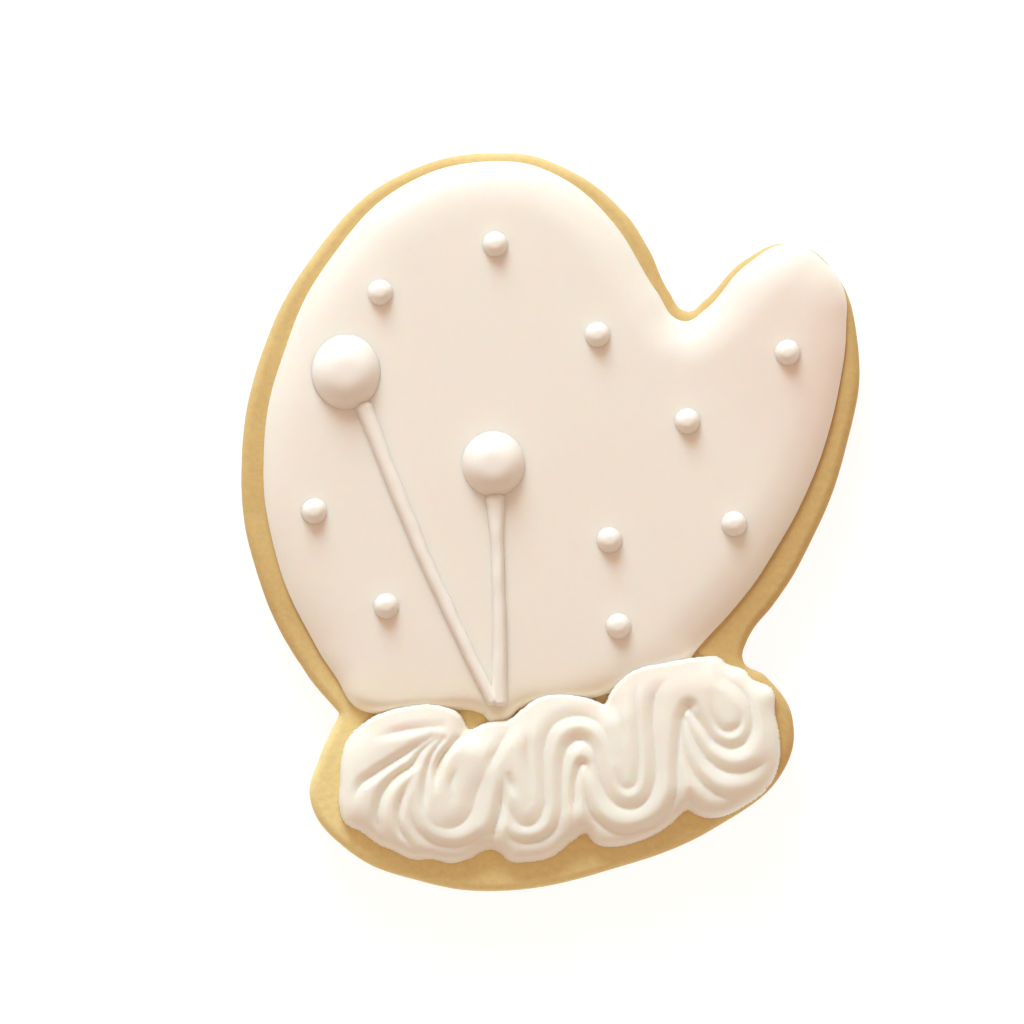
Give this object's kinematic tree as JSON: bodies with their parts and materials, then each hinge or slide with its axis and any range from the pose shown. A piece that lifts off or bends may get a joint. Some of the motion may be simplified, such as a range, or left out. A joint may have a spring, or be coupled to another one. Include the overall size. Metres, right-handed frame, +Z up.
{
  "type": "iced sugar cookie",
  "caption": "Mitten-shaped rolled sugar cookie with flooded ivory icing, piped dots, round piped pops on sticks, and a fluted piped border along the cuff.",
  "frame": {"origin": "centre of the bounding box, on the flat underside of the dough", "axes": "+Z up through the icing, +Y from the cuff to the fingertips, thumb on the +X side"},
  "size_m": [0.084, 0.1001, 0.0124],
  "materials": {
    "dough": "matte, baked golden tan",
    "icing": "satin, ivory flooded icing",
    "border": "satin, cream piped icing",
    "piping": "satin, ivory piped icing"
  },
  "bodies": {
    "root": {"dough": "dough", "icing": "icing", "border": "border", "pop_left": "piping", "pop_right": "piping", "stick_left": "piping", "stick_right": "piping", "dot_01": "piping", "dot_02": "piping", "dot_03": "piping", "dot_04": "piping", "dot_05": "piping", "dot_06": "piping", "dot_07": "piping", "dot_08": "piping", "dot_09": "piping", "dot_10": "piping"}
  },
  "joints": []
}
